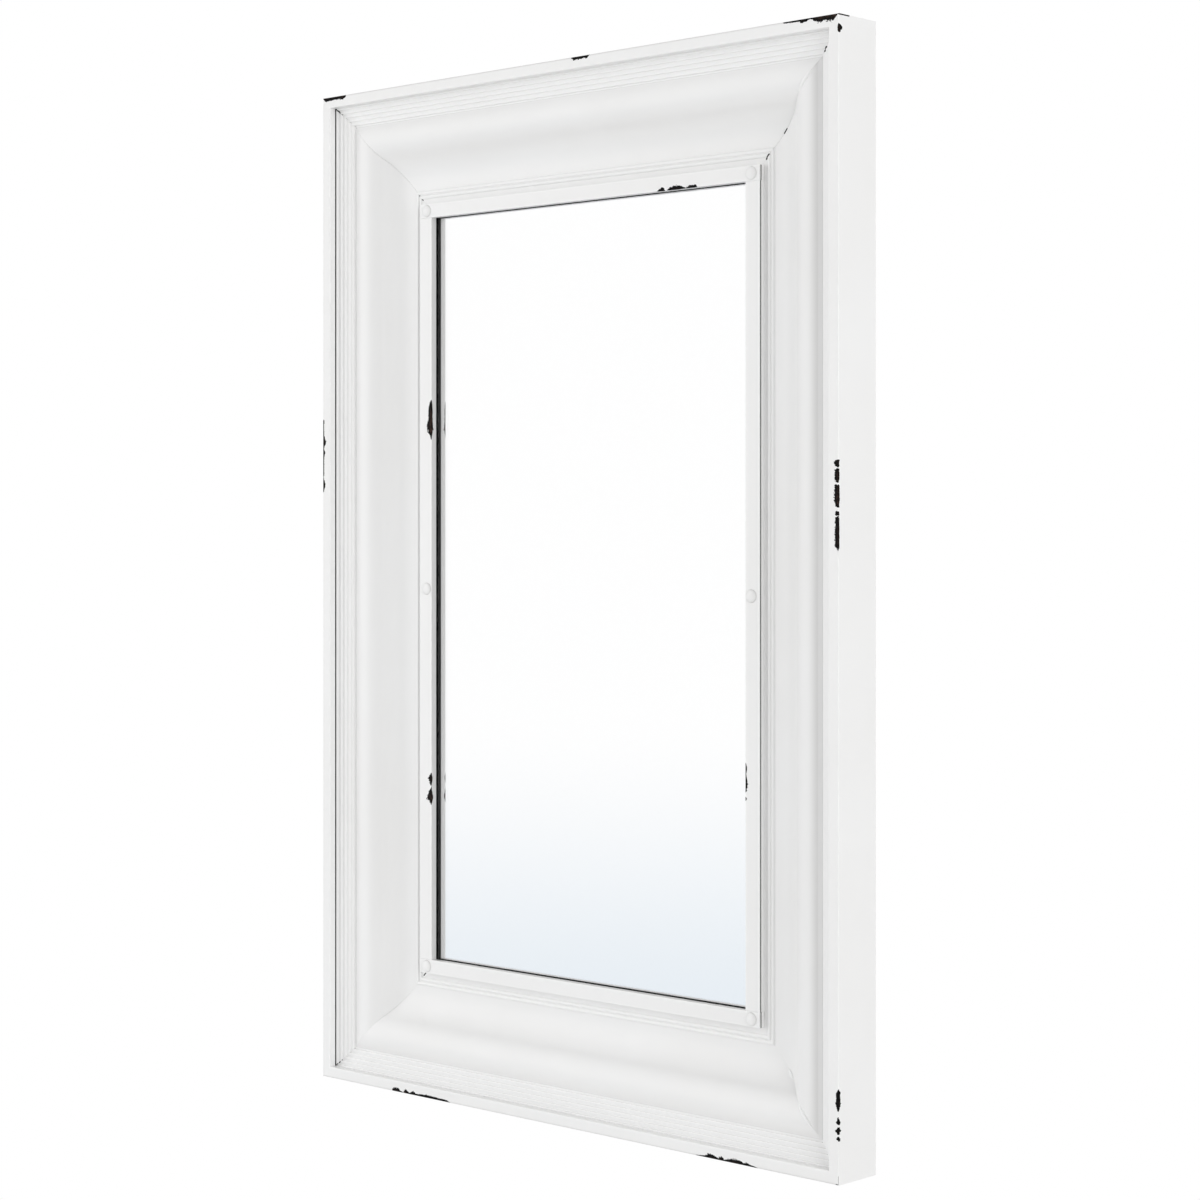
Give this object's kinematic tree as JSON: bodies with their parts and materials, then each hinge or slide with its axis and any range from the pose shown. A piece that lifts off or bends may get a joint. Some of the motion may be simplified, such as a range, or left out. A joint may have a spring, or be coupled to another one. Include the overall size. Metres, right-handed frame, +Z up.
{
  "type": "wall mirror",
  "caption": "Rectangular wall mirror in a deep white distressed sheet metal frame, with a stepped ogee moulding, riveted inner trim and swinging ring hangers.",
  "frame": {"origin": "middle of the wall's plane, which the backs of the bumpers meet, at half the frame's width and height", "axes": "+Z up, -Y towards the viewer, whom the glass faces, +X to the viewer's right"},
  "size_m": [0.61, 0.055, 0.914],
  "materials": {
    "white_enamel": "satin white enamel, chipped to dark metal along the edges",
    "black_undercoat": "matt black undercoat",
    "zinc_plate": "zinc plated",
    "mirror": "silvered float glass",
    "hardboard": "brown hardboard",
    "rubber": "matt black rubber"
  },
  "bodies": {
    "frame": {"rim_top": "white_enamel", "rim_bottom": "white_enamel", "rim_left": "white_enamel", "rim_right": "white_enamel", "moulding_top": "white_enamel", "moulding_bottom": "white_enamel", "moulding_left": "white_enamel", "moulding_right": "white_enamel", "trim_top": "white_enamel", "trim_bottom": "white_enamel", "trim_left": "white_enamel", "trim_right": "white_enamel", "trim_rivets": "white_enamel", "rebate_top": "black_undercoat", "rebate_bottom": "black_undercoat", "rebate_left": "black_undercoat", "rebate_right": "black_undercoat", "corner_plates": "black_undercoat", "hanger_plate_left": "zinc_plate", "hanger_plate_right": "zinc_plate", "hanger_rivets": "zinc_plate", "mirror_glass": "mirror", "backing_board": "hardboard", "wall_bumpers": "rubber"},
    "ring_left": {"hanger_ring_left": "zinc_plate"},
    "ring_right": {"hanger_ring_right": "zinc_plate"}
  },
  "joints": [
    {"name": "ring_left_swing", "type": "hinge", "parent": "frame", "child": "ring_left", "pos_m": [-0.29, -0.0034, 0.287], "axis": [1, 0, 0], "range_deg": [0, 180]},
    {"name": "ring_right_swing", "type": "hinge", "parent": "frame", "child": "ring_right", "pos_m": [0.29, -0.0034, 0.287], "axis": [1, 0, 0], "range_deg": [0, 180]}
  ]
}
